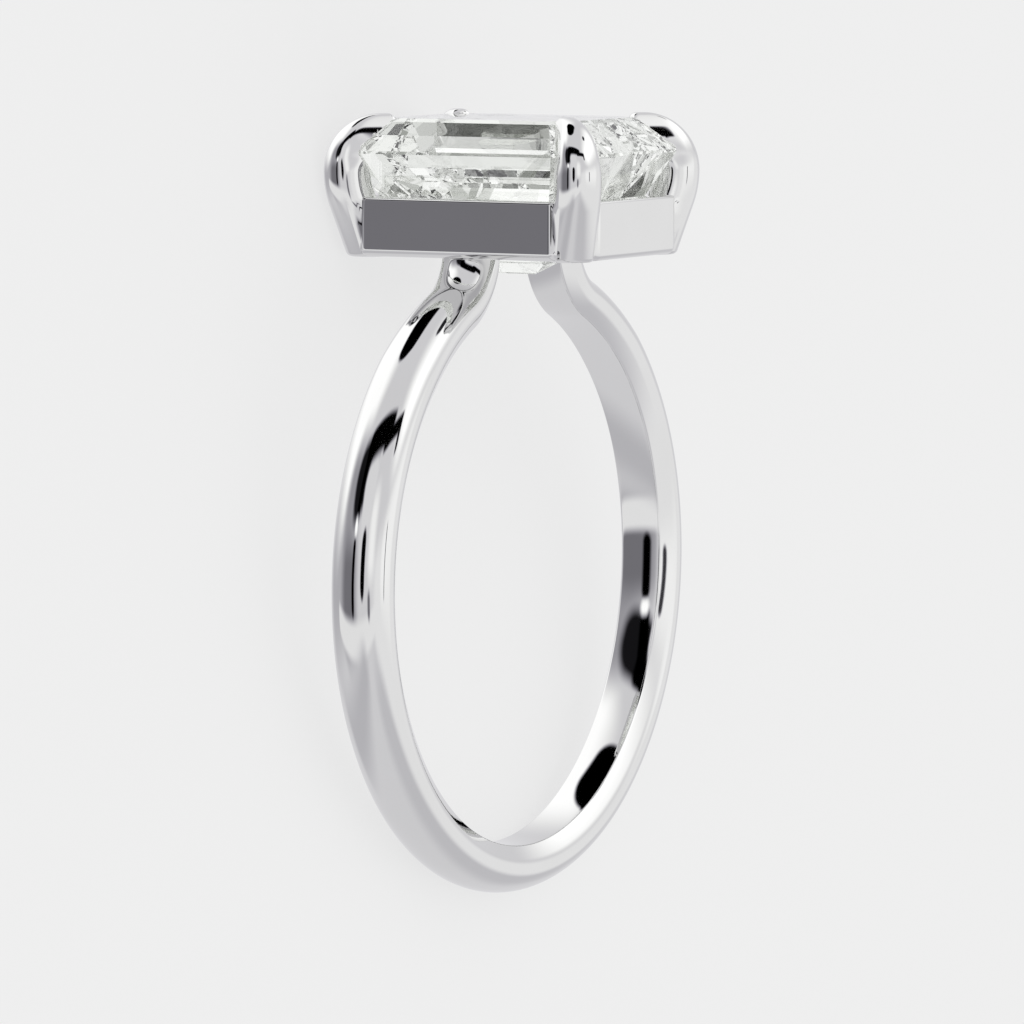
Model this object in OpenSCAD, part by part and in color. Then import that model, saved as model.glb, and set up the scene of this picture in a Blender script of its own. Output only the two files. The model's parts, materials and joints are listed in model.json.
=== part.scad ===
// Solitaire engagement ring with an emerald-cut stone, lying on its side on a flat surface.
// Ring frame: X across the hoop, Y towards the head, Z along the finger, zero at the middle
// of the finger hole. module lying() then leans it the small angle at which it rests on two
// claws and on the edge of the hoop, and puts the origin under the middle of its box.
// All lengths are in millimetres and all angles in degrees.

/* [Hoop] */
// Diameter of the finger hole
finger_d = 16.5; // [15.5:0.1:19]
// Thickness of the hoop from the finger outwards
band_t = 1.52; // [1.45:0.01:1.65]
// Widest measure of the hoop along the finger
band_w = 1.96; // [1.8:0.02:2.1]
// Width of the flat wall that touches the finger
inner_w = 1.26; // [1:0.02:1.3]
// Radius of the rounded sides of the hoop
side_r = 0.62; // [0.56:0.01:0.64]
// Distance of the widest place from the finger
side_at = 0.75; // [0.7:0.01:0.78]

/* [Shoulders] */
// Angle from the top at which each shoulder leaves the round of the hoop
shoulder_from = 24.4; // [23:0.1:26]
// Radius of the sweep of a shoulder's finger side up to the basket
shoulder_r = 2.8; // [2.7:0.05:2.95]

/* [Basket] */
// Gap from the top of the finger hole to the underside of the basket
basket_gap = 1.37; // [1.3:0.01:1.5]
// Outside length of the basket along the finger
basket_l = 8.6; // [8.4:0.05:8.8]
// Outside width of the basket across the finger
basket_w = 6.9; // [6.8:0.05:7]
// Height of the basket walls
basket_h = 1.78; // [1.6:0.01:1.8]
// Thickness of the basket walls
wall_t = 0.64; // [0.5:0.02:0.66]
// How much each corner of the basket is cut off along its sides
corner_cut = 1.04; // [0.96:0.01:1.06]
// Chamfer round the lower edge of the basket
low_bevel = 0.2; // [0.15:0.01:0.25]
// Bevel round the rim of the basket
rim_bevel = 0.07; // [0.04:0.01:0.1]

/* [Claws] */
// Thickness of the round claws
claw_d = 1.42; // [1.3:0.01:1.5]
// How far the claws bulge outwards beyond the cut corners of the basket
claw_bulge = 0.96; // [0.95:0.01:1]
// Height of the widest bulge above the rim of the basket
bulge_rise = 0.74; // [0.7:0.01:0.8]
// Radius of the bend of a claw over the stone
bend_r = 1.75; // [1.72:0.01:1.78]
// Radius of the bend of a claw below the bulge
foot_r = 3; // [2.8:0.1:3.2]
// Lean of the straight foot of a claw
foot_lean = 20; // [18:0.5:21]
// Length of the flat tip of a claw over the stone
tip_l = 0.42; // [0.3:0.01:0.5]
// Radius of the taper of a claw towards its tip
taper_r = 3.2; // [2.8:0.1:4]

/* [Stone] */
// Length of the stone along the finger
stone_l = 8.62; // [8.5:0.02:8.66]
// Width of the stone across the finger
stone_w = 7; // [6.9:0.02:7.04]
// How much each corner of the stone is cut off at the girdle
stone_cut = 1.06; // [1:0.02:1.14]
// Height of the crown from the girdle to the table
crown_h = 0.95; // [0.85:0.01:0.98]
// Thickness of the girdle
girdle_t = 0.09; // [0.06:0.01:0.12]
// Depth of the pavilion from the girdle to the keel
pavilion_h = 3.68; // [3.6:0.02:3.75]
// Height of the girdle above the rim of the basket
girdle_rise = 1.31; // [1.28:0.01:1.34]
// Clearance between the stone and the metal
seat_gap = 0.03; // [0.02:0.01:0.05]

/* [Hidden] */
$fn = 96;
finger_r = finger_d / 2;
basket_low = finger_r + basket_gap;
basket_top = basket_low + basket_h;
half_l = basket_l / 2;
half_w = basket_w / 2;

// A corner of the head is worked out along its own diagonal: D outwards, T along the cut.
diag = sin(45);
cut_d = (half_l + half_w - corner_cut) * diag;
cut_t = (half_l - half_w) * diag;
claw_r = claw_d / 2;
bulge_d = cut_d + claw_bulge;
bulge_h = basket_top + bulge_rise;
bend_d = bulge_d - bend_r;
foot_d = bulge_d - foot_r;
foot_start = bulge_h - foot_r * sin(foot_lean);

// Section of the hoop: crown arc, two side arcs, two slanted flats and the finger wall.
arc_x = band_t - side_at;
arc_y = band_w / 2 - side_r;
crown_r = (arc_x * arc_x + arc_y * arc_y - side_r * side_r) / (2 * (arc_x - side_r));
crown_x = band_t - crown_r;
crown_a = atan2(arc_y, side_at - crown_x);
edge_x = -side_at;
edge_y = inner_w / 2 - arc_y;
edge_len = norm([edge_x, edge_y]);
side_a = atan2(edge_y, edge_x) - acos(side_r / edge_len);
crown_steps = 10;
side_steps = 8;
function on_crown(a) = [crown_x + crown_r * cos(a), crown_r * sin(a)];
function on_side(a) = [side_at + side_r * cos(a), arc_y + side_r * sin(a)];
side_step = (side_a - crown_a) / side_steps;
upper_side = [for (i = [1 : side_steps]) on_side(crown_a + side_step * i)];
lower_side = [for (i = [side_steps : -1 : 1]) let (p = on_side(crown_a + side_step * i)) [p[0], -p[1]]];
crown_arc = [for (i = [0 : crown_steps]) on_crown(-crown_a + 2 * crown_a * i / crown_steps)];
band_section = concat([[0, -inner_w / 2]], lower_side, crown_arc, upper_side, [[0, inner_w / 2]]);

// A shoulder is a hair thinner than the hoop and starts just inside it, so the two join.
solder_step = 0.01;
tuck = 3;
shrink = 1 - 2 * solder_step / band_t;
shoulder_section = [for (p = band_section) [solder_step + p[0] * shrink, p[1] * shrink]];

// How far the shoulders run up inside the basket.
shoulder_rise = 0.35;

// How far a cutting shape runs past what it cuts, and how far it stays off a curved face.
over = 1;
slack = 0.02;

// Lean at rest: the claws and the side of the hoop reach equally far down.
function claw_reach(a) =
    diag * cos(a) * (foot_d + cut_t) - bulge_h * sin(a)
    + (foot_r - claw_r) * norm([diag * cos(a), sin(a)]) + claw_r;
function hoop_reach(a) = (finger_r + side_at) * sin(a) + arc_y * cos(a) + side_r;
lever = bulge_h + finger_r + side_at;
lean_tries = 12;
function settle(a, n) =
    n == 0 ? a : settle(a + (claw_reach(a) - hoop_reach(a)) / lever * 180 / PI, n - 1);
lean = settle(0, lean_tries);
lift = hoop_reach(lean);
front = (finger_r + crown_x) * cos(lean) + crown_r;
back = diag * sin(lean) * (bend_d + cut_t) + bulge_h * cos(lean)
    + (bend_r - claw_r) * norm([diag * sin(lean), cos(lean)]) + claw_r;
mid_y = (back - front) / 2;

// Stone: rows of [inset from the girdle outline, height from the middle of the girdle].
crown_rows = [[0.33, 1], [0.265, 0.895], [0.137, 0.49], [0, 0]];
pavilion_rows = [[0, 0], [0.257, 0.405], [0.567, 0.745], [1, 1]];
corner_fade = 1.3;
girdle_top = basket_top + girdle_rise + girdle_t;
girdle_low = basket_top + girdle_rise;
function cut_ring(inset, y, g) =
    let (
        w = stone_w / 2 * (1 - inset) + g,
        l = stone_l / 2 - stone_w / 2 * inset + g,
        c = stone_cut * pow(1 - inset, corner_fade)
    )
    [
        [w, y, l - c], [w - c, y, l], [c - w, y, l], [-w, y, l - c],
        [-w, y, c - l], [c - w, y, -l], [w - c, y, -l], [w, y, c - l]
    ];

module lying() {
    translate([0, -mid_y, lift])
        rotate([lean, 0, 0])
            children();
}

module hoop() {
    rotate([0, 0, 90 + shoulder_from])
        rotate_extrude(angle = 360 - 2 * shoulder_from)
            translate([finger_r, 0])
                polygon(band_section);
}

module shoulder() {
    sweep_c = finger_r + shoulder_r;
    sweep = 90 - shoulder_from + tuck;
    translate([-sweep_c * sin(shoulder_from), sweep_c * cos(shoulder_from), 0])
        rotate([0, 0, -sweep])
            rotate_extrude(angle = sweep)
                translate([shoulder_r, 0])
                    mirror([1, 0])
                        polygon(shoulder_section);
}

module shoulders() {
    difference() {
        for (side = [0, 1])
            mirror([side, 0, 0])
                shoulder();
        translate([-half_w, basket_low + shoulder_rise, -band_w])
            cube([basket_w, band_t, 2 * band_w]);
    }
}

module cut_plan(w, l, c) {
    polygon([
        [w, l - c], [w - c, l], [c - w, l], [-w, l - c],
        [-w, c - l], [c - w, -l], [w - c, -l], [w, c - l]
    ]);
}

// Side view of a wall with its chamfered lower edge and bevelled rim.
module wall_profile(half) {
    polygon([
        [half - low_bevel, basket_low], [half, basket_low + low_bevel],
        [half, basket_top - rim_bevel], [half - rim_bevel, basket_top],
        [rim_bevel - half, basket_top], [-half, basket_top - rim_bevel],
        [-half, basket_low + low_bevel], [low_bevel - half, basket_low]
    ]);
}

module basket() {
    inner_cut = corner_cut - wall_t * (2 - sqrt(2));
    difference() {
        intersection() {
            translate([0, 0, -basket_l])
                linear_extrude(height = 2 * basket_l)
                    wall_profile(half_w);
            rotate([0, 90, 0])
                translate([0, 0, -basket_w])
                    linear_extrude(height = 2 * basket_w)
                        wall_profile(half_l);
            translate([0, basket_top + over, 0])
                rotate([90, 0, 0])
                    linear_extrude(height = basket_h + 2 * over)
                        cut_plan(half_w, half_l, corner_cut);
        }
        translate([0, basket_top + over, 0])
            rotate([90, 0, 0])
                linear_extrude(height = basket_h + 2 * over)
                    cut_plan(half_w - wall_t, half_l - wall_t, inner_cut);
    }
}

// Claw in its own plane: X outwards along the diagonal, Y up from the finger hole.
module claw_wire() {
    translate([bend_d, bulge_h])
        rotate_extrude(angle = 90)
            translate([bend_r - claw_r, 0])
                circle(r = claw_r);
    translate([bend_d, bulge_h + bend_r - claw_r])
        rotate([0, -90, 0])
            cylinder(r = claw_r, h = tip_l);
    translate([foot_d, bulge_h])
        rotate([0, 0, -foot_lean])
            rotate_extrude(angle = foot_lean)
                translate([foot_r - claw_r, 0])
                    circle(r = claw_r);
    foot_l = (foot_start - basket_low) / cos(foot_lean) + claw_d;
    translate([foot_d, bulge_h])
        rotate([0, 0, -foot_lean])
            translate([foot_r - claw_r, 0])
                rotate([90, 0, 0])
                    cylinder(r = claw_r, h = foot_l);
}

// Front view of a claw: straight up to the bulge, then tapering to a rounded tip.
module claw_front() {
    wide = claw_r + slack;
    top = bulge_h + bend_r;
    union() {
        intersection() {
            translate([wide - taper_r, bulge_h])
                circle(r = taper_r);
            translate([taper_r - wide, bulge_h])
                circle(r = taper_r);
            translate([-claw_d, bulge_h])
                square([2 * claw_d, top]);
        }
        translate([-wide, basket_low])
            square([2 * wide, bulge_h - basket_low]);
    }
}

module claw() {
    intersection() {
        claw_wire();
        rotate([0, 90, 0])
            linear_extrude(height = 2 * bulge_d)
                claw_front();
    }
}

module claws() {
    for (across = [0, 1], along = [0, 1])
        mirror([across, 0, 0])
            mirror([0, 0, along])
                translate([-cut_t * diag, 0, cut_t * diag])
                    rotate([0, -45, 0])
                        claw();
}

module stone_solid(g) {
    rows = concat(
        [for (r = crown_rows) cut_ring(r[0], girdle_top + r[1] * crown_h + g, g)],
        [for (r = pavilion_rows) cut_ring(r[0], girdle_low - r[1] * pavilion_h - g, g)]
    );
    sides = 8;
    last = len(rows) - 1;
    polyhedron(
        points = [for (row = rows) for (p = row) p],
        faces = concat(
            [[for (i = [0 : sides - 1]) i]],
            [for (k = [0 : last - 1]) for (i = [0 : sides - 1])
                let (j = (i + 1) % sides)
                [k * sides + j, k * sides + i, (k + 1) * sides + i, (k + 1) * sides + j]],
            [[for (i = [sides - 1 : -1 : 0]) last * sides + i]]
        )
    );
}

// Hoop, shoulders, basket and claws are soldered into one piece of metal.
module band_and_setting() {
    color([0.8, 0.8, 0.82])
        lying() {
            hoop();
            shoulders();
            basket();
            difference() {
                claws();
                stone_solid(seat_gap);
            }
        }
}

module stone() {
    color([0.93, 0.96, 0.96])
        lying()
            stone_solid(0);
}

band_and_setting();
stone();
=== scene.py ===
"""Looks of a solitaire ring with an emerald-cut stone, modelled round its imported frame.

The metal is modelled upright, in millimetres, with X across the hoop, Y towards the head, Z
along the finger and zero at the middle of the finger hole. lay_down() then scales it to
metres and leans it to where the frame's finger hole is.
"""

import json
import math

import bmesh
import bpy
from mathutils import Matrix, Vector


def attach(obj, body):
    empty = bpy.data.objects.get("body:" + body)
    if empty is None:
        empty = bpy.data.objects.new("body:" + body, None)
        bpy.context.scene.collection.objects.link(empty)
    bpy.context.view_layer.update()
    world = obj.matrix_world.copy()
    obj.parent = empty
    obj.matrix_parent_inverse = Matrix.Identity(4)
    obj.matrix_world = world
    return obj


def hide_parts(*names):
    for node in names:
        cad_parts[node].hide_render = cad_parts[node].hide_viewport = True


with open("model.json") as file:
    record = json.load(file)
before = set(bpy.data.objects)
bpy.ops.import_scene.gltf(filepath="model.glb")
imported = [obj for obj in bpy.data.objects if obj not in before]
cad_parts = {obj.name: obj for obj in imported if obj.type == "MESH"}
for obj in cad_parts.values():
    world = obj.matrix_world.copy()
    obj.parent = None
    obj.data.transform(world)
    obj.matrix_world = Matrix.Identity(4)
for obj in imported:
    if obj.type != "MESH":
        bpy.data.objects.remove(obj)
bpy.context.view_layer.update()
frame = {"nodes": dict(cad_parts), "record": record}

bl_info = {
    "name": "Solitaire ring",
    "version": (1, 0, 0),
    "blender": (4, 5, 0),
    "location": "View3D > Sidebar > Ring",
    "description": "Models and dresses a solitaire ring round its packed frame",
    "category": "Object",
}

# One millimetre in metres, the unit of the frame.
MM = 0.001
METAL_NODE = "band_and_setting"
STONE_NODE = "stone"

# Steps along each sweep, which set how smooth the round forms are.
HOOP_STEPS = 68
TAPER_STEPS = 12
SHOULDER_STEPS = 24
FOOT_STEPS = 12
BEND_STEPS = 40
CLAW_SIDES = 48
# Steps along the crown, the side, the edge and the dome of half the hoop's section.
SECTION_STEPS = (14, 16, 4, 6)

# Vertices this close, in millimetres, are merged.
DOUBLE = 0.0005
# Points and heights this close, in millimetres, count as one.
NEAR = 0.001
# Points this close to a plane, in millimetres, lie in it.
SAME = 0.0001
# An edge or a normal with this share of its length along Y counts as upright.
UPRIGHT = 0.9
# How far a cutting shape reaches past what it cuts, in millimetres.
CLEAR = 1
# Rise and growth of the hollow's flare at the rim, in rim radii, from its start upwards.
RIM_FLARE = ((0.5, 0.134), (0.866, 0.5), (1.2, 1.6))
# Edges that turn less than this, in degrees, are shaded smooth.
SMOOTH_UNDER = 30

# The frame's finger hole gives the hole's radius, its wall, its middle and the ring's lean.
HOLE = next(m for m in frame["record"]["mounts"] if m["name"] == "finger_hole")
HOLE_R = HOLE["dims"]["r_mm"]
WALL_W = HOLE["dims"]["length_mm"]
LEAN = math.atan2(-HOLE["axis"][1], HOLE["axis"][2])
UPRIGHT_TO_ROW = (
    Matrix.Translation(Vector(HOLE["pos_m"])) @ Matrix.Rotation(LEAN, 4, "X") @ Matrix.Scale(MM, 4)
)


def length(name, description, default_mm, lowest=0):
    """A length that a user may change. It is stored in metres."""
    return bpy.props.FloatProperty(
        name=name,
        description=description,
        default=default_mm * MM,
        min=lowest,
        precision=5,
        unit="LENGTH",
    )


def angle(name, description, default_deg):
    """An angle that a user may change. It is stored in radians."""
    return bpy.props.FloatProperty(
        name=name, description=description, default=math.radians(default_deg), subtype="ANGLE"
    )


class HoopSizes(bpy.types.PropertyGroup):
    """Sizes of the hoop and its shoulders."""

    band_t: length("Thickness", "Thickness of the hoop from the finger outwards", 1.52)
    band_w: length("Width", "Widest measure of the hoop along the finger", 1.96)
    side_r: length("Side radius", "Radius of the rounded sides of the hoop", 0.62)
    side_at: length("Widest place", "Distance of the widest place from the finger", 0.75)
    edge_r: length("Edge radius", "Radius at the edges of the finger wall", 0.1)
    wall_r: length("Wall dome", "Radius of the comfort dome of the finger wall", 4)
    shoulder_from: angle("Shoulder start", "Angle from the top where a shoulder begins", 24.4)
    shoulder_r: length("Shoulder sweep", "Radius of a shoulder's finger side", 2.8)
    taper_from: angle("Taper start", "Angle from the top where the hoop begins to thin", 44)
    taper: bpy.props.FloatProperty(
        name="Taper",
        description="Share of its section that a shoulder keeps",
        default=0.93,
        min=0,
        max=1,
        subtype="FACTOR",
    )


class HeadSizes(bpy.types.PropertyGroup):
    """Sizes of the basket and the claws."""

    basket_gap: length("Basket gap", "Gap from the finger hole to the basket's underside", 1.37)
    basket_l: length("Basket length", "Outside length of the basket along the finger", 8.6)
    basket_w: length("Basket width", "Outside width of the basket across the finger", 6.9)
    basket_h: length("Basket height", "Height of the basket walls", 1.78)
    wall_t: length("Wall", "Thickness of the basket walls", 0.64)
    corner_cut: length("Corner cut", "How much each corner of the basket is cut off", 1.04)
    corner_r: length("Corner radius", "Radius of the upright edges of the basket", 0.14)
    rim_r: length("Rim radius", "Radius of the edges of the rim", 0.1)
    low_r: length("Lower edge radius", "Radius of the lower edge of the basket", 0.24)
    claw_d: length("Claw thickness", "Thickness of the round claws", 1.42)
    claw_bulge: length("Claw bulge", "How far the claws bulge beyond the cut corners", 0.96)
    bulge_rise: length("Bulge height", "Height of the widest bulge above the rim", 0.74)
    bend_r: length("Claw bend", "Radius of the bend of a claw over the stone", 1.75)
    foot_r: length("Foot bend", "Radius of the bend of a claw below the bulge", 3)
    foot_lean: angle("Foot lean", "Lean of the straight foot of a claw", 20)
    foot_out: length("Foot end", "How far a claw's foot stands out below the basket", 0.03)
    foot_edge_r: length("Foot edge", "Radius at the end of a claw's foot", 0.12)
    tip_l: length("Tip length", "Length of the flat tip over the stone", 0.42)
    tip_edge_r: length("Tip edge", "Radius at the end of a claw's tip", 0.2)
    taper_r: length("Claw taper", "Radius of the taper of a claw towards its tip", 3.2)
    seat_gap: length("Seat gap", "Clearance between the stone and the claws", 0.02)


BLACK = (0, 0, 0, 1)
WHITE = (1, 1, 1, 1)


def linear(hex_text):
    """An sRGB hex value as linear red, green and blue."""
    parts = [int(hex_text[i : i + 2], 16) / 255 for i in (1, 3, 5)]
    return tuple(p / 12.92 if p <= 0.04045 else ((p + 0.055) / 1.055) ** 2.4 for p in parts)


def colour(name, description, hex_text):
    """A colour that a user may change, given as an sRGB hex value."""
    return bpy.props.FloatVectorProperty(
        name=name,
        description=description,
        default=linear(hex_text),
        subtype="COLOR",
        min=0,
        max=1,
    )


class Finishes(bpy.types.PropertyGroup):
    """Colours of the metal, the stone and the floor."""

    metal: colour("Metal", "Colour of the rhodium plated metal", "#E5E5E5")
    metal_shade: colour("Metal shade", "Colour where the plating is thinnest", "#E0E0DF")
    stone: colour("Stone", "Colour of the stone", "#FEFFFD")
    stone_tint: colour("Stone tint", "Faint tint in parts of the stone", "#FAFCF8")
    floor: colour("Floor", "Colour of the floor", "#EFEFEF")


class StageSizes(bpy.types.PropertyGroup):
    """Sizes of the floor and the place of the camera, seen from the upright ring."""

    floor_size: length("Floor", "Width of the floor", 4000)
    lens: bpy.props.FloatProperty(
        name="Lens",
        description="Focal length in millimetres on a 36 mm sensor",
        default=292.03,
        min=1,
        unit="CAMERA",
    )
    distance: length("Camera distance", "Distance from the ring's middle to the camera", 251.93)
    turn: angle("Camera turn", "Turn of the camera from the finger's axis round the ring", 60.953)
    rise: angle("Camera rise", "Rise of the camera towards the stone", 4.853)
    roll: angle("Camera roll", "Roll of the camera", 0.033)
    aim_across: length("Aim across", "Where the camera aims, across the hoop", 0.14, -1)
    aim_up: length("Aim up", "Where the camera aims, towards the stone", 1.776, -1)
    aim_along: length("Aim along", "Where the camera aims, along the finger", -0.076, -1)


def millimetres(group):
    """The values of a property group as plain numbers, with its lengths in millimetres."""
    out = {}
    for name, prop in group.bl_rna.properties.items():
        if prop.type == "FLOAT" and not prop.is_array:
            value = getattr(group, name)
            out[name] = value / MM if prop.unit == "LENGTH" else value
    return out


def clear_selection():
    """Leave edit mode and deselect everything, the frame's nodes too."""
    if bpy.context.mode != "OBJECT":
        bpy.ops.object.mode_set(mode="OBJECT")
    bpy.ops.object.select_all(action="DESELECT")


def pick(kind, test):
    """In edit mode, select the edges or faces that pass a test."""
    mesh = bpy.context.object.data
    bpy.ops.mesh.select_mode(type=kind)
    bpy.ops.mesh.select_all(action="DESELECT")
    edit = bmesh.from_edit_mesh(mesh)
    for part in {"EDGE": edit.edges, "FACE": edit.faces}[kind]:
        if test(part):
            part.select_set(True)
    edit.select_flush_mode()
    bmesh.update_edit_mesh(mesh)


def middle(edge):
    """The middle of an edge."""
    return (edge.verts[0].co + edge.verts[1].co) / 2


def is_upright(edge):
    """Whether an edge runs straight up or down."""
    return abs((edge.verts[1].co - edge.verts[0].co).normalized().y) > UPRIGHT


def bevel_edges(test, radius, segments):
    """In edit mode, bevel the edges that pass a test."""
    pick("EDGE", test)
    bpy.ops.mesh.bevel(offset=radius, segments=segments, affect="EDGES")


def extrude(step):
    """In edit mode, extrude the selection by a vector."""
    bpy.ops.mesh.extrude_region_move(TRANSFORM_OT_translate={"value": step})


def activate(piece):
    """Select one piece alone."""
    clear_selection()
    bpy.context.view_layer.objects.active = piece
    piece.select_set(True)


def start_loop(name, points):
    """A circle primitive whose vertices are moved to the points of a section."""
    clear_selection()
    bpy.ops.mesh.primitive_circle_add(vertices=len(points), radius=1, fill_type="NOTHING")
    piece = bpy.context.object
    piece.name = name
    for vertex, point in zip(piece.data.vertices, points):
        vertex.co = point
    bpy.ops.object.mode_set(mode="EDIT")
    bpy.ops.mesh.select_mode(type="VERT")
    bpy.ops.mesh.select_all(action="SELECT")
    return piece


def start_block(name, width, depth, low, top, cut):
    """A cube primitive made a block with cut corners, between two heights."""
    clear_selection()
    bpy.ops.mesh.primitive_cube_add(
        size=1, location=(0, (low + top) / 2, 0), scale=(width, top - low, depth)
    )
    piece = bpy.context.object
    piece.name = name
    bpy.ops.object.transform_apply(location=True, rotation=True, scale=True)
    bpy.ops.object.mode_set(mode="EDIT")
    bevel_edges(is_upright, cut, segments=1)
    return piece


def spin(steps, turn, centre):
    """Sweep the selected loop anticlockwise round a centre, and leave the new end selected."""
    # With no window the operator turns clockwise for a positive angle.
    bpy.ops.mesh.spin(steps=steps, angle=-turn, center=centre, axis=(0, 0, 1))


def modify(piece, kind, **settings):
    """Add a modifier with its settings and apply it."""
    activate(piece)
    modifier = piece.modifiers.new(kind.lower(), kind)
    for name, value in settings.items():
        setattr(modifier, name, value)
    bpy.ops.object.modifier_apply(modifier=modifier.name)


def combine(piece, tool, operation):
    """Join a piece with a tool, or cut the tool out of it, and remove the tool."""
    modify(piece, "BOOLEAN", object=tool, operation=operation, solver="EXACT")
    bpy.data.objects.remove(tool)


def outward(piece):
    """Merge doubles and turn all faces outwards."""
    activate(piece)
    bpy.ops.object.mode_set(mode="EDIT")
    bpy.ops.mesh.select_all(action="SELECT")
    bpy.ops.mesh.remove_doubles(threshold=DOUBLE)
    bpy.ops.mesh.normals_make_consistent(inside=False)
    bpy.ops.object.mode_set(mode="OBJECT")


def lay_down(piece):
    """Scale a piece to metres, lean it to where the ring rests, and keep that in its mesh."""
    activate(piece)
    piece.matrix_world = UPRIGHT_TO_ROW @ piece.matrix_world
    bpy.ops.object.transform_apply(location=True, rotation=True, scale=True)


def band_section(s):
    """Points (out from the finger, along the finger) round the hoop's section."""
    inner = WALL_W / 2
    arc_x = s["band_t"] - s["side_at"]
    arc_y = s["band_w"] / 2 - s["side_r"]
    crown_r = (arc_x**2 + arc_y**2 - s["side_r"] ** 2) / (2 * (arc_x - s["side_r"]))
    crown_x = s["band_t"] - crown_r
    crown_a = math.atan2(arc_y, s["side_at"] - crown_x)
    edge = Vector((-s["side_at"], inner - arc_y))
    side_a = math.atan2(edge.y, edge.x) - math.acos(s["side_r"] / edge.length)
    # The edge's arc touches both the side, which slopes to the wall's corner, and the dome.
    dome_r = s["wall_r"]
    reach = dome_r - s["edge_r"]
    side_off = inner * math.sin(side_a) - s["edge_r"]
    dome_a = math.pi + side_a - math.acos((dome_r * math.cos(side_a) - side_off) / reach)
    edge_x = dome_r + reach * math.cos(dome_a)
    edge_y = reach * math.sin(dome_a)
    arcs = (
        (crown_x, 0, crown_r, 0, crown_a),
        (s["side_at"], arc_y, s["side_r"], crown_a, side_a),
        (edge_x, edge_y, s["edge_r"], side_a, dome_a),
        (dome_r, 0, dome_r, dome_a, math.pi),
    )
    upper = []
    for (x, y, radius, start, end), steps in zip(arcs, SECTION_STEPS):
        for i in range(steps + 1):
            a = start + (end - start) * i / steps
            upper.append((x + radius * math.cos(a), y + radius * math.sin(a)))
    upper = [p for i, p in enumerate(upper) if i == 0 or math.dist(p, upper[i - 1]) > NEAR]
    return upper + [(x, -y) for x, y in reversed(upper[1:-1])]


class RING_OT_band(bpy.types.Operator):
    """Model the hoop and the shoulders that sweep up to the basket"""

    bl_idname = "ring.band"
    bl_label = "Hoop and shoulders"

    def execute(self, context):
        s = millimetres(context.scene.ring_hoop)
        foot = [(0, -(HOLE_R + out), across) for out, across in band_section(s)]
        piece = start_loop("hoop", foot)
        spin(HOOP_STEPS, math.pi - s["taper_from"], (0, 0, 0))
        # The loop shrinks towards the finger wall, a little at each step up to the shoulder.
        turn = (s["taper_from"] - s["shoulder_from"]) / TAPER_STEPS
        keep = s["taper"] ** (1 / TAPER_STEPS)
        for i in range(TAPER_STEPS):
            spin(1, turn, (0, 0, 0))
            top = s["taper_from"] - turn * (i + 1)
            wall = (HOLE_R * math.sin(top), HOLE_R * math.cos(top), 0)
            bpy.ops.transform.resize(value=(keep, keep, keep), center_override=wall)
        sweep = HOLE_R + s["shoulder_r"]
        centre = (sweep * math.sin(s["shoulder_from"]), sweep * math.cos(s["shoulder_from"]), 0)
        spin(SHOULDER_STEPS, s["shoulder_from"] - math.pi / 2, centre)
        bpy.ops.mesh.edge_face_add()
        bpy.ops.object.mode_set(mode="OBJECT")
        modify(piece, "MIRROR", use_axis=(True, False, False), merge_threshold=NEAR)
        outward(piece)
        return {"FINISHED"}


class RING_OT_basket(bpy.types.Operator):
    """Model the open rectangular basket with its cut corners"""

    bl_idname = "ring.basket"
    bl_label = "Basket"

    def execute(self, context):
        s = millimetres(context.scene.ring_head)
        low = HOLE_R + s["basket_gap"]
        top = low + s["basket_h"]
        piece = start_block("basket", s["basket_w"], s["basket_l"], low, top, s["corner_cut"])
        bevel_edges(is_upright, s["corner_r"], segments=5)
        bevel_edges(lambda e: middle(e).y < low + NEAR, s["low_r"], segments=6)
        bevel_edges(lambda e: middle(e).y > top - NEAR, s["rim_r"], segments=3)
        # The hollow keeps the wall even round the cut corners and flares at the rim.
        half_w = s["basket_w"] / 2 - s["wall_t"]
        half_l = s["basket_l"] / 2 - s["wall_t"]
        cut = s["corner_cut"] - s["wall_t"] * (2 - math.sqrt(2))
        flare_from = top - s["rim_r"]
        hollow = start_block("hollow", 2 * half_w, 2 * half_l, low - CLEAR, flare_from, cut)
        pick("FACE", lambda f: f.normal.y > UPRIGHT)
        was_up = was_out = 0
        for up, out in RIM_FLARE:
            extrude((0, (up - was_up) * s["rim_r"], 0))
            now = out * s["rim_r"]
            was = was_out * s["rim_r"]
            grow = ((half_w + now) / (half_w + was), 1, (half_l + now) / (half_l + was))
            bpy.ops.transform.resize(value=grow, center_override=(0, top, 0))
            was_up, was_out = up, out
        bpy.ops.object.mode_set(mode="OBJECT")
        outward(hollow)
        combine(piece, hollow, "DIFFERENCE")
        outward(piece)
        return {"FINISHED"}


def claw_limit(s, rise):
    """Half the claw's width in its front view, at a rise above the bulge."""
    return math.sqrt(s["taper_r"] ** 2 - rise**2) - (s["taper_r"] - s["claw_d"] / 2)


def taper_claw(piece, s, bulge_h):
    """Narrow the claw towards its tip, with rounded sides and no crease at the bulge."""
    # A high power keeps the middle of the claw as it is and rounds only its sides.
    power = 10
    # The narrowing sets in over this height above the bulge, in millimetres.
    ease_h = 0.5
    for vertex in piece.data.vertices:
        rise = vertex.co.y - bulge_h
        if rise > 0 and abs(vertex.co.z) > SAME:
            limit = claw_limit(s, rise)
            full = vertex.co.z / (1 + abs(vertex.co.z / limit) ** power) ** (1 / power)
            t = min(rise / ease_h, 1)
            vertex.co.z += (full - vertex.co.z) * t * t * (3 - 2 * t)


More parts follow.
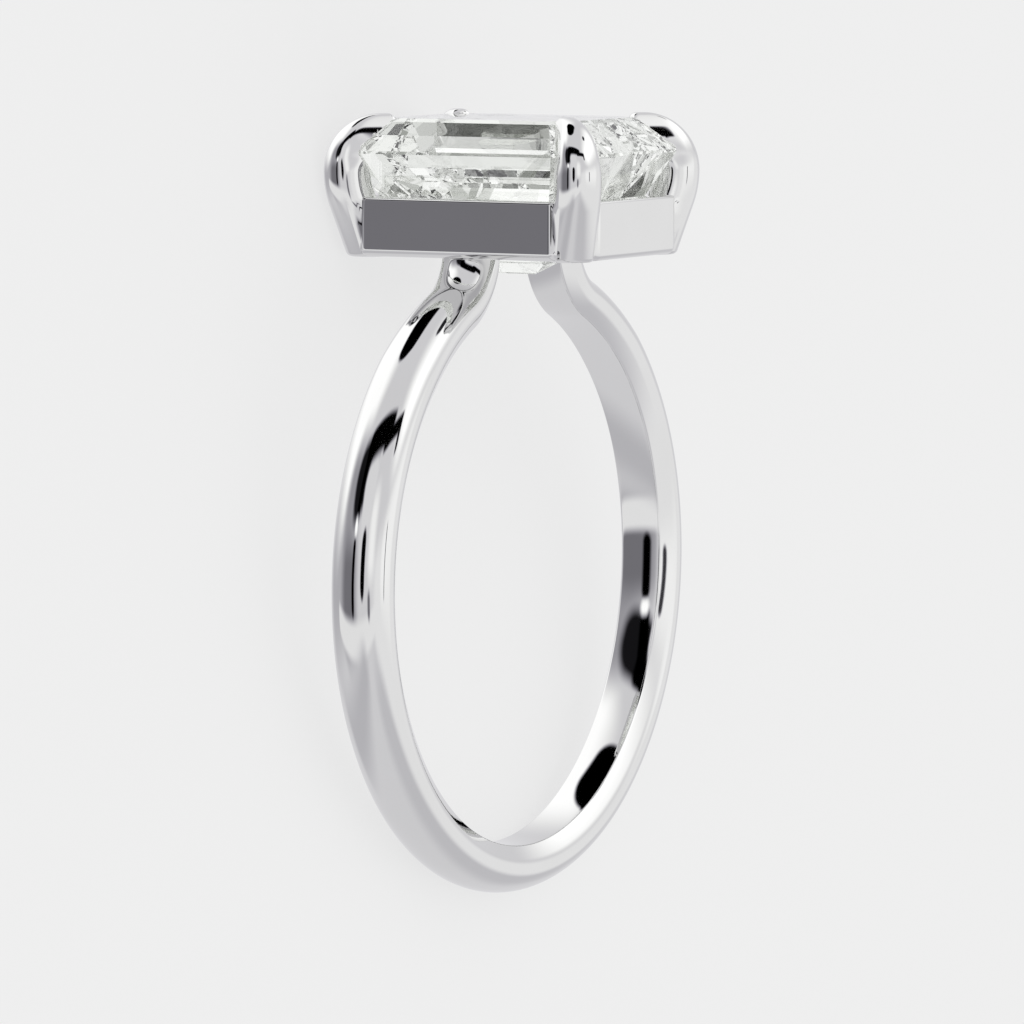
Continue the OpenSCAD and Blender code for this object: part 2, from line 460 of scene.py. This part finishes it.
def model_claw(s):
    """One claw in its own plane: X outwards, Y up from the finger hole."""
    claw_r = s["claw_d"] / 2
    low = HOLE_R + s["basket_gap"]
    bulge_h = low + s["basket_h"] + s["bulge_rise"]
    # The bulge stands beyond the cut corner of a square that has the basket's mean side.
    reach = (s["basket_l"] + s["basket_w"]) / 2 - s["corner_cut"]
    bulge_d = reach * math.sin(math.pi / 4) + s["claw_bulge"]
    lean = s["foot_lean"]
    outwards = Vector((math.cos(lean), -math.sin(lean), 0))
    upwards = Vector((math.sin(lean), math.cos(lean), 0))
    foot_centre = Vector((bulge_d - s["foot_r"], bulge_h, 0))
    foot_top = foot_centre + outwards * (s["foot_r"] - claw_r)
    foot_low = low - s["foot_out"]
    # The foot runs a thickness too far down, and a level cut then trims it.
    foot_l = (foot_top.y - foot_low) / math.cos(lean) + s["claw_d"]
    ring = []
    for i in range(CLAW_SIDES):
        a = 2 * math.pi * i / CLAW_SIDES
        across = Vector((0, 0, claw_r * math.sin(a)))
        ring.append(foot_top - upwards * foot_l + outwards * claw_r * math.cos(a) + across)
    piece = start_loop("claw", ring)
    extrude(upwards * foot_l)
    spin(FOOT_STEPS, lean, foot_centre)
    spin(BEND_STEPS, math.pi / 2, (bulge_d - s["bend_r"], bulge_h, 0))
    # Two steps, and the rounding of the tip has to stay within the second.
    for _ in range(2):
        extrude((-s["tip_l"] / 2, 0, 0))
    pick("EDGE", lambda e: e.is_boundary)
    bpy.ops.mesh.edge_face_add()
    bpy.ops.mesh.select_all(action="SELECT")
    foot = (0, foot_low, 0)
    bpy.ops.mesh.bisect(plane_co=foot, plane_no=(0, 1, 0), use_fill=True, clear_inner=True)
    bevel_edges(lambda e: abs(middle(e).y - foot_low) < SAME, s["foot_edge_r"], segments=4)
    tip = bulge_d - s["bend_r"] - s["tip_l"]
    bevel_edges(
        lambda e: all(abs(v.co.x - tip) < SAME for v in e.verts), s["tip_edge_r"], segments=6
    )
    bpy.ops.object.mode_set(mode="OBJECT")
    taper_claw(piece, s, bulge_h)
    outward(piece)
    return piece


def stone_shape(gap):
    """A closed copy of the stone, upright and in millimetres, grown by a gap."""
    mesh = frame["nodes"][STONE_NODE].data.copy()
    mesh.transform(UPRIGHT_TO_ROW.inverted())
    piece = bpy.data.objects.new("stone_shape", mesh)
    bpy.context.scene.collection.objects.link(piece)
    outward(piece)
    bpy.ops.object.mode_set(mode="EDIT")
    bpy.ops.mesh.select_all(action="SELECT")
    bpy.ops.transform.shrink_fatten(value=gap, use_even_offset=True)
    bpy.ops.object.mode_set(mode="OBJECT")
    return piece


class RING_OT_claws(bpy.types.Operator):
    """Model one claw, copy it to the four corners and cut the stone's seat into them"""

    bl_idname = "ring.claws"
    bl_label = "Claws"

    def execute(self, context):
        s = millimetres(context.scene.ring_head)
        first = model_claw(s)
        # The claw's own plane turns to a square's corner, which then shifts to the basket's.
        shift = (s["basket_l"] - s["basket_w"]) / 4
        corner = Matrix.Translation((-shift, 0, shift)) @ Matrix.Rotation(-math.pi / 4, 4, "Y")
        claws = []
        for across, away in ((1, 1), (-1, 1), (1, -1), (-1, -1)):
            claw = first.copy()
            claw.data = first.data.copy()
            context.scene.collection.objects.link(claw)
            claw.data.transform(Matrix.Diagonal((across, 1, away, 1)) @ corner)
            outward(claw)
            claws.append(claw)
        bpy.data.objects.remove(first)
        clear_selection()
        for claw in claws:
            claw.select_set(True)
        context.view_layer.objects.active = claws[0]
        bpy.ops.object.join()
        claws[0].name = "claws"
        combine(claws[0], stone_shape(s["seat_gap"]), "DIFFERENCE")
        return {"FINISHED"}


class RING_OT_solder(bpy.types.Operator):
    """Solder hoop, basket and claws into one piece and lay it on its side"""

    bl_idname = "ring.solder"
    bl_label = "Solder the metal"

    def execute(self, context):
        piece = bpy.data.objects["basket"]
        combine(piece, bpy.data.objects["claws"], "UNION")
        combine(piece, bpy.data.objects["hoop"], "UNION")
        piece.name = "ring_metal"
        outward(piece)
        bpy.ops.object.shade_smooth_by_angle(angle=math.radians(SMOOTH_UNDER))
        lay_down(piece)
        # Wide faces keep their flat shine, and the narrow ones at their edges turn the light.
        modify(piece, "WEIGHTED_NORMAL", weight=100, keep_sharp=True)
        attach(piece, "root")
        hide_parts(METAL_NODE)
        return {"FINISHED"}


def add_node(tree, kind, inputs=None, **settings):
    """Add a node with its settings, and set or link its inputs, given by name or number."""
    node = tree.nodes.new(kind)
    for name, value in settings.items():
        setattr(node, name, value)
    for name, value in (inputs or {}).items():
        if isinstance(value, bpy.types.NodeSocket):
            tree.links.new(value, node.inputs[name])
        else:
            node.inputs[name].default_value = value
    return node


def start_material(name):
    """An empty node material."""
    material = bpy.data.materials.new(name)
    material.use_nodes = True
    material.node_tree.nodes.clear()
    return material


def plated_gold(colours):
    """Rhodium plated white gold, cast, then buffed on a soft wheel to a mirror.

    It gives the eye sharp reflections with a faint ripple, and hair-fine haze where the wheel
    pulled the compound over the metal.
    """
    material = start_material("Rhodium plated white gold")
    tree = material.node_tree
    place = add_node(tree, "ShaderNodeTexCoord").outputs["Object"]
    # Plating is a shade warmer where it is thinnest, in patches of about this size.
    patch_size = 2.5 * MM
    patches = add_node(
        tree, "ShaderNodeTexNoise", {"Vector": place, "Scale": 1 / patch_size, "Detail": 2.0}
    )
    tone = add_node(
        tree,
        "ShaderNodeMix",
        {
            "Factor": patches.outputs["Fac"],
            "A": (*colours.metal, 1),
            "B": (*colours.metal_shade, 1),
        },
        data_type="RGBA",
    )
    # Buffing haze runs in streaks this far apart, and ten times as long.
    streak_gap = 0.05 * MM
    streaks = add_node(
        tree, "ShaderNodeMapping", {"Vector": place, "Scale": (1, 0.1, 1)}, vector_type="POINT"
    )
    haze = add_node(
        tree,
        "ShaderNodeTexNoise",
        {"Vector": streaks.outputs["Vector"], "Scale": 1 / streak_gap, "Detail": 1.0},
    )
    roughness = add_node(
        tree,
        "ShaderNodeMapRange",
        {"Value": haze.outputs["Fac"], "To Min": 0.02, "To Max": 0.055},
    )
    # A hand-held piece comes off the wheel with low ripples of this length and height.
    ripple_length = 1.2 * MM
    ripple_height = 0.002 * MM
    ripple = add_node(
        tree, "ShaderNodeTexNoise", {"Vector": place, "Scale": 1 / ripple_length, "Detail": 0.0}
    )
    bump = add_node(
        tree,
        "ShaderNodeBump",
        {"Height": ripple.outputs["Fac"], "Strength": 1.0, "Distance": ripple_height},
    )
    shader = add_node(
        tree,
        "ShaderNodeBsdfPrincipled",
        {
            "Base Color": tone.outputs["Result"],
            "Roughness": roughness.outputs["Result"],
            "Metallic": 1.0,
            "Normal": bump.outputs["Normal"],
        },
    )
    add_node(tree, "ShaderNodeOutputMaterial", {"Surface": shader.outputs["BSDF"]})
    return material


def cut_diamond(colours):
    """Diamond, cut in steps and polished on a lap.

    It gives the eye flat facets that mirror one another many times over, with grey-green
    darks where a facet looks past the light.
    """
    material = start_material("Polished diamond")
    tree = material.node_tree
    place = add_node(tree, "ShaderNodeTexCoord").outputs["Object"]
    # The crystal's tint changes over about this length, as it grew.
    growth_size = 3 * MM
    growth = add_node(
        tree, "ShaderNodeTexNoise", {"Vector": place, "Scale": 1 / growth_size, "Detail": 1.0}
    )
    tone = add_node(
        tree,
        "ShaderNodeMix",
        {
            "Factor": growth.outputs["Fac"],
            "A": (*colours.stone, 1),
            "B": (*colours.stone_tint, 1),
        },
        data_type="RGBA",
    )
    shader = add_node(
        tree,
        "ShaderNodeBsdfPrincipled",
        {
            "Base Color": tone.outputs["Result"],
            "Roughness": 0.0,
            "IOR": 2.417,
            "Transmission Weight": 1.0,
        },
    )
    add_node(tree, "ShaderNodeOutputMaterial", {"Surface": shader.outputs["BSDF"]})
    return material


def light_table(colours):
    """Opal acrylic of a light table, lit mostly from below.

    It gives the eye a plain pale ground with a trace of grain, on which shadows stay faint.
    """
    material = start_material("Opal acrylic")
    tree = material.node_tree
    place = add_node(tree, "ShaderNodeTexCoord").outputs["Object"]
    # The grain has about this size, and its darkest keeps this share of the floor's colour.
    grain_size = 0.3 * MM
    grain_shade = 0.995
    grain = add_node(
        tree, "ShaderNodeTexNoise", {"Vector": place, "Scale": 1 / grain_size, "Detail": 2.0}
    )
    tone = add_node(
        tree,
        "ShaderNodeMix",
        {
            "Factor": grain.outputs["Fac"],
            "A": (*colours.floor, 1),
            "B": (*(grain_shade * c for c in colours.floor), 1),
        },
        data_type="RGBA",
    )
    # The share of the table's brightness that comes from below, where no shadow falls on it.
    from_below = 0.8
    top_share = add_node(
        tree,
        "ShaderNodeMix",
        {"Factor": from_below, "A": tone.outputs["Result"], "B": BLACK},
        data_type="RGBA",
    )
    shader = add_node(
        tree,
        "ShaderNodeBsdfPrincipled",
        {
            "Base Color": top_share.outputs["Result"],
            "Roughness": 0.9,
            "Specular IOR Level": 0.0,
            "Emission Color": tone.outputs["Result"],
            "Emission Strength": from_below,
        },
    )
    add_node(tree, "ShaderNodeOutputMaterial", {"Surface": shader.outputs["BSDF"]})
    return material


class RING_OT_finish(bpy.types.Operator):
    """Give the metal and the stone their materials"""

    bl_idname = "ring.finish"
    bl_label = "Metal and stone"

    def execute(self, context):
        colours = context.scene.ring_finishes
        metal = bpy.data.objects["ring_metal"]
        metal.data.materials.clear()
        metal.data.materials.append(plated_gold(colours))
        stone = frame["nodes"][STONE_NODE]
        diamond = cut_diamond(colours)
        for slot in stone.material_slots:
            slot.material = diamond
        return {"FINISHED"}


# Soft boxes, walls and dark cards round the ring, as its outer surfaces mirror them. Each has
# a name, its brightness, the turn and rise of its middle, half its width and height, the radius
# of its corners, its roll and its soft edge. Angles are in degrees: the turn starts at the
# camera, and the rise goes towards the stone. A later one covers an earlier one. Their ground
# is the brightness of the sky and of the floor, the rise where they meet and how softly.
STUDIO = (
    ("floor to the left", 0.66, -81.0, -52.0, 56.0, 22.0, 15.0, 0.0, 26.0),
    ("left soft box", 1.42, -90.0, 43.0, 38.0, 19.0, 15.0, 0.0, 28.0),
    ("left fill", 0.95, -74.0, -10.0, 61.0, 25.0, 12.0, 0.0, 20.0),
    ("near fill", 1.10, -68.0, 2.0, 32.0, 9.0, 8.0, 0.0, 14.0),
    ("right wall glow", 0.55, 103.0, 4.0, 40.0, 19.0, 12.0, 0.0, 22.0),
    ("right wall", 0.22, 65.0, -3.0, 23.0, 18.0, 12.0, 0.0, 24.0),
    ("floor rim", 0.95, 40.0, -20.0, 62.0, 6.5, 4.0, 0.0, 5.0),
    ("right floor", 0.60, 75.0, -42.0, 50.0, 11.0, 9.0, 0.0, 18.0),
    ("right soft box", 1.30, 131.0, 37.0, 33.0, 29.0, 13.0, 3.0, 26.0),
    ("screen shade", 0.40, 82.0, 25.0, 16.0, 13.0, 12.0, -15.0, 22.0),
    ("middle fill", 1.08, -3.0, 14.0, 9.0, 14.0, 8.0, 0.0, 14.0),
    ("dark screen", 0.01, 45.0, 36.0, 27.0, 14.0, 12.0, -20.0, 8.0),
    ("bar", 0.00, 23.0, 50.0, 26.0, 7.0, 5.0, -8.0, 4.0),
    ("bar end", 0.00, -18.0, 44.5, 15.0, 3.8, 3.5, 6.0, 3.0),
    ("bar leg", 0.00, -37.5, 38.0, 2.6, 7.0, 2.6, 0.0, 2.4),
    ("window", 0.85, 22.0, 29.0, 15.0, 13.0, 9.0, -10.0, 6.0),
    ("post", 0.00, 50.0, 30.0, 4.5, 14.0, 4.0, 0.0, 3.0),
    ("overhead card", 0.00, 145.0, 69.6, 18.5, 12.5, 12.0, -36.0, 3.0),
    ("near card", 0.00, 21.0, 5.5, 6.0, 12.0, 6.0, 0.0, 3.0),
    ("far card", 0.00, 50.5, 1.0, 4.0, 13.0, 4.0, 0.0, 3.0),
    ("spark", 1.30, 50.5, 17.0, 4.0, 3.0, 3.0, 0.0, 4.0),
    ("small card", 0.20, 1.0, -8.0, 3.5, 4.5, 3.0, 0.0, 4.0),
    ("thin card", 0.05, -57.0, 1.0, 1.6, 7.0, 1.6, 0.0, 1.6),
    ("back card", 0.02, -96.0, 62.5, 5.2, 3.6, 3.6, 0.0, 2.0),
)
STUDIO_GROUND = (0.78, 0.78, -12.0, 14.0)
# Tint of this studio's dark parts.
VIOLET = "#F4F1FF"

# The same for the light that comes through the stone: mostly white, with dim grey-green parts.
STONE_STUDIO = (
    ("white strip", 1.70, 47.4, -7.0, 13.0, 3.9, 3.9, 9.8, 6.2),
    ("left screen", 0.13, -48.9, 4.3, 19.3, 14.2, 14.2, 17.9, 5.0),
    ("low back card", 0.02, -171.8, -40.8, 20.9, 7.1, 7.1, 19.0, 10.9),
    ("right edge card", 0.02, 69.3, -12.7, 2.0, 6.2, 2.0, -1.3, 2.0),
    ("low front card", 0.02, 19.3, -49.8, 5.1, 5.2, 5.1, -0.9, 2.7),
    ("middle card", 0.02, -18.2, -2.1, 2.0, 8.7, 2.0, -7.7, 4.0),
    ("right high card", 0.25, 59.0, 46.1, 13.3, 13.6, 10.6, 0.8, 4.7),
    ("left high card", 0.41, -74.4, 45.7, 20.0, 24.2, 15.1, -2.4, 20.6),
    ("top light", 1.15, 92.0, 52.0, 20.0, 9.0, 6.0, 0.0, 8.0),
    ("green card", 0.10, 67.0, -23.0, 10.0, 8.0, 5.0, 0.0, 5.0),
    ("green wall", 0.05, 58.0, 0.6, 2.2, 3.2, 2.0, 0.0, 1.5),
)
STONE_GROUND = (1.02, 0.85, 11.5, 23.3)
# Tint of this studio's dark parts.
GREEN_GREY = "#ECF3E6"
# Light turns many times inside the stone before it finds its way out.
STONE_BOUNCES = 32
# The camera's sensor in millimetres, and the nearest that it sees in metres.
SENSOR_W = 36
CLIP_START = 0.01


def card_mask(tree, sight, card):
    """A mask that is one on a card with round corners and fades over its soft edge."""
    turn, rise, half_w, half_h, corner, roll, soft = (math.radians(a) for a in card)
    level = Matrix.Rotation(rise, 3, "X") @ Matrix.Rotation(turn, 3, "Y")
    facing = Matrix.Rotation(roll, 3, "Z") @ level
    turned = add_node(
        tree,
        "ShaderNodeVectorRotate",
        {"Vector": sight, "Rotation": facing.to_euler("XYZ")},
        rotation_type="EULER_XYZ",
    )
    parts = add_node(tree, "ShaderNodeSeparateXYZ", {"Vector": turned.outputs["Vector"]})
    bearings = {}
    for axis in ("X", "Y"):
        ratio = {0: parts.outputs[axis], 1: parts.outputs["Z"]}
        bearings[axis] = add_node(tree, "ShaderNodeMath", ratio, operation="ARCTAN2").outputs[0]
    off = add_node(tree, "ShaderNodeCombineXYZ", bearings)
    # How far off the card lies, measured from the middles of its round corners.
    steps = (
        ("ABSOLUTE", (0, 0, 0)),
        ("SUBTRACT", (half_w - corner, half_h - corner, 0)),
        ("MAXIMUM", (0, 0, 0)),
        ("LENGTH", (0, 0, 0)),
    )
    for operation, second in steps:
        values = {0: off.outputs["Vector"], 1: second}
        off = add_node(tree, "ShaderNodeVectorMath", values, operation=operation)
    edge = {
        "Value": off.outputs["Value"],
        "From Min": corner + soft / 2,
        "From Max": corner - soft / 2,
    }
    mask = add_node(tree, "ShaderNodeMapRange", edge, interpolation_type="SMOOTHSTEP")
    return mask.outputs["Result"]


def studio_light(tree, sight, cards, ground, dark_tint):
    """Background of a studio, by the direction of a reflection. Its dark parts are tinted."""
    sky_light, floor_light, floor_rise, floor_soft = ground
    parts = add_node(tree, "ShaderNodeSeparateXYZ", {"Vector": sight})
    rise = add_node(tree, "ShaderNodeMath", {0: parts.outputs["Y"]}, operation="ARCSINE")
    top, bottom = (math.radians(floor_rise + side * floor_soft / 2) for side in (1, -1))
    edge = {"Value": rise.outputs[0], "From Min": top, "From Max": bottom}
    floor = add_node(tree, "ShaderNodeMapRange", edge, interpolation_type="SMOOTHSTEP")
    layers = {"Factor": floor.outputs["Result"], "A": sky_light, "B": floor_light}
    light = add_node(tree, "ShaderNodeMix", layers, data_type="FLOAT").outputs["Result"]
    for _, brightness, *card in cards:
        layers = {"Factor": card_mask(tree, sight, card), "A": light, "B": brightness}
        light = add_node(tree, "ShaderNodeMix", layers, data_type="FLOAT").outputs["Result"]
    tints = {"Factor": light, "A": (*linear(dark_tint), 1), "B": WHITE}
    tint = add_node(tree, "ShaderNodeMix", tints, data_type="RGBA").outputs["Result"]
    return add_node(tree, "ShaderNodeBackground", {"Color": tint, "Strength": light})


def light_world(scene):
    """Even light on the floor, a studio for outer reflections and one behind the stone."""
    world = bpy.data.worlds.new("Studio")
    world.use_nodes = True
    scene.world = world
    tree = world.node_tree
    tree.nodes.clear()
    seen = add_node(tree, "ShaderNodeTexCoord").outputs["Generated"]
    camera_turn = Matrix.Rotation(scene.ring_stage.turn, 3, "Y") @ Matrix.Rotation(-LEAN, 3, "X")
    turned = add_node(
        tree,
        "ShaderNodeVectorRotate",
        {"Vector": seen, "Rotation": camera_turn.to_euler("XYZ")},
        rotation_type="EULER_XYZ",
    )
    sight = turned.outputs["Vector"]
    studio = studio_light(tree, sight, STUDIO, STUDIO_GROUND, VIOLET)
    gem = studio_light(tree, sight, STONE_STUDIO, STONE_GROUND, GREEN_GREY)
    floor = scene.ring_finishes.floor
    back = add_node(tree, "ShaderNodeBackground", {"Color": (*floor, 1), "Strength": 1.0})
    even = add_node(tree, "ShaderNodeBackground", {"Color": WHITE, "Strength": 1.0})
    path = add_node(tree, "ShaderNodeLightPath")
    # Each kind of ray meets its own light, and the last kind that fits it counts. The depth is
    # 1 or more once a ray has gone through the stone, also where metal turns it.
    light = even
    rays = (("Is Camera Ray", back), ("Is Glossy Ray", studio), ("Transmission Depth", gem))
    for ray, other in rays:
        shaders = {0: path.outputs[ray], 1: light.outputs[0], 2: other.outputs[0]}
        light = add_node(tree, "ShaderNodeMixShader", shaders)
    add_node(tree, "ShaderNodeOutputWorld", {"Surface": light.outputs[0]})


def place_camera(scene):
    """Set up the camera by its place from the upright ring, and lean it with the ring."""
    s = scene.ring_stage
    lens = bpy.data.cameras.new("camera")
    lens.sensor_width = SENSOR_W
    lens.lens = s.lens
    lens.clip_start = CLIP_START
    camera = bpy.data.objects.new("camera", lens)
    scene.collection.objects.link(camera)
    away = (
        Matrix.Rotation(-s.turn, 4, "Y")
        @ Matrix.Rotation(-s.rise, 4, "X")
        @ Matrix.Rotation(s.roll, 4, "Z")
    )
    aim = Matrix.Translation((s.aim_across, s.aim_up, s.aim_along))
    back = Matrix.Translation((0, 0, s.distance))
    to_metres = UPRIGHT_TO_ROW @ Matrix.Scale(1 / MM, 4)
    camera.matrix_world = to_metres @ aim @ away @ back
    scene.camera = camera


class RING_OT_stage(bpy.types.Operator):
    """Lay the floor, light it and set up the camera"""

    bl_idname = "ring.stage"
    bl_label = "Stage"

    def execute(self, context):
        scene = context.scene
        clear_selection()
        bpy.ops.mesh.primitive_plane_add(size=scene.ring_stage.floor_size, location=(0, 0, 0))
        floor = context.object
        floor.name = "floor"
        floor.data.materials.append(light_table(scene.ring_finishes))
        floor.visible_glossy = False
        floor.visible_transmission = False
        light_world(scene)
        scene.view_settings.view_transform = "Standard"
        for limit in ("max_bounces", "glossy_bounces", "transmission_bounces"):
            setattr(scene.cycles, limit, STONE_BOUNCES)
        place_camera(scene)
        return {"FINISHED"}


class RING_PT_panel(bpy.types.Panel):
    """Sizes, colours and steps of the ring"""

    bl_idname = "RING_PT_panel"
    bl_label = "Solitaire ring"
    bl_space_type = "VIEW_3D"
    bl_region_type = "UI"
    bl_category = "Ring"

    def draw(self, context):
        scene = context.scene
        groups = (scene.ring_hoop, scene.ring_head, scene.ring_finishes, scene.ring_stage)
        for group in groups:
            box = self.layout.box()
            for name in group.__annotations__:
                box.prop(group, name)
        for step in STEPS:
            self.layout.operator(step)


CLASSES = (
    HoopSizes,
    HeadSizes,
    Finishes,
    StageSizes,
    RING_OT_band,
    RING_OT_basket,
    RING_OT_claws,
    RING_OT_solder,
    RING_OT_finish,
    RING_OT_stage,
    RING_PT_panel,
)

STEPS = (
    "ring.band",
    "ring.basket",
    "ring.claws",
    "ring.solder",
    "ring.finish",
    "ring.stage",
)


def register():
    """Register the classes and hang the sizes on the scene."""
    for cls in CLASSES:
        bpy.utils.register_class(cls)
    bpy.types.Scene.ring_hoop = bpy.props.PointerProperty(type=HoopSizes)
    bpy.types.Scene.ring_head = bpy.props.PointerProperty(type=HeadSizes)
    bpy.types.Scene.ring_finishes = bpy.props.PointerProperty(type=Finishes)
    bpy.types.Scene.ring_stage = bpy.props.PointerProperty(type=StageSizes)


def unregister():
    """Take the sizes off the scene and unregister the classes."""
    del bpy.types.Scene.ring_stage
    del bpy.types.Scene.ring_finishes
    del bpy.types.Scene.ring_head
    del bpy.types.Scene.ring_hoop
    for cls in reversed(CLASSES):
        bpy.utils.unregister_class(cls)


def main():
    """Register the add-on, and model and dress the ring."""
    register()
    bpy.ops.ring.band()
    bpy.ops.ring.basket()
    bpy.ops.ring.claws()
    bpy.ops.ring.solder()
    bpy.ops.ring.finish()
    bpy.ops.ring.stage()


if __name__ == "__main__":
    main()
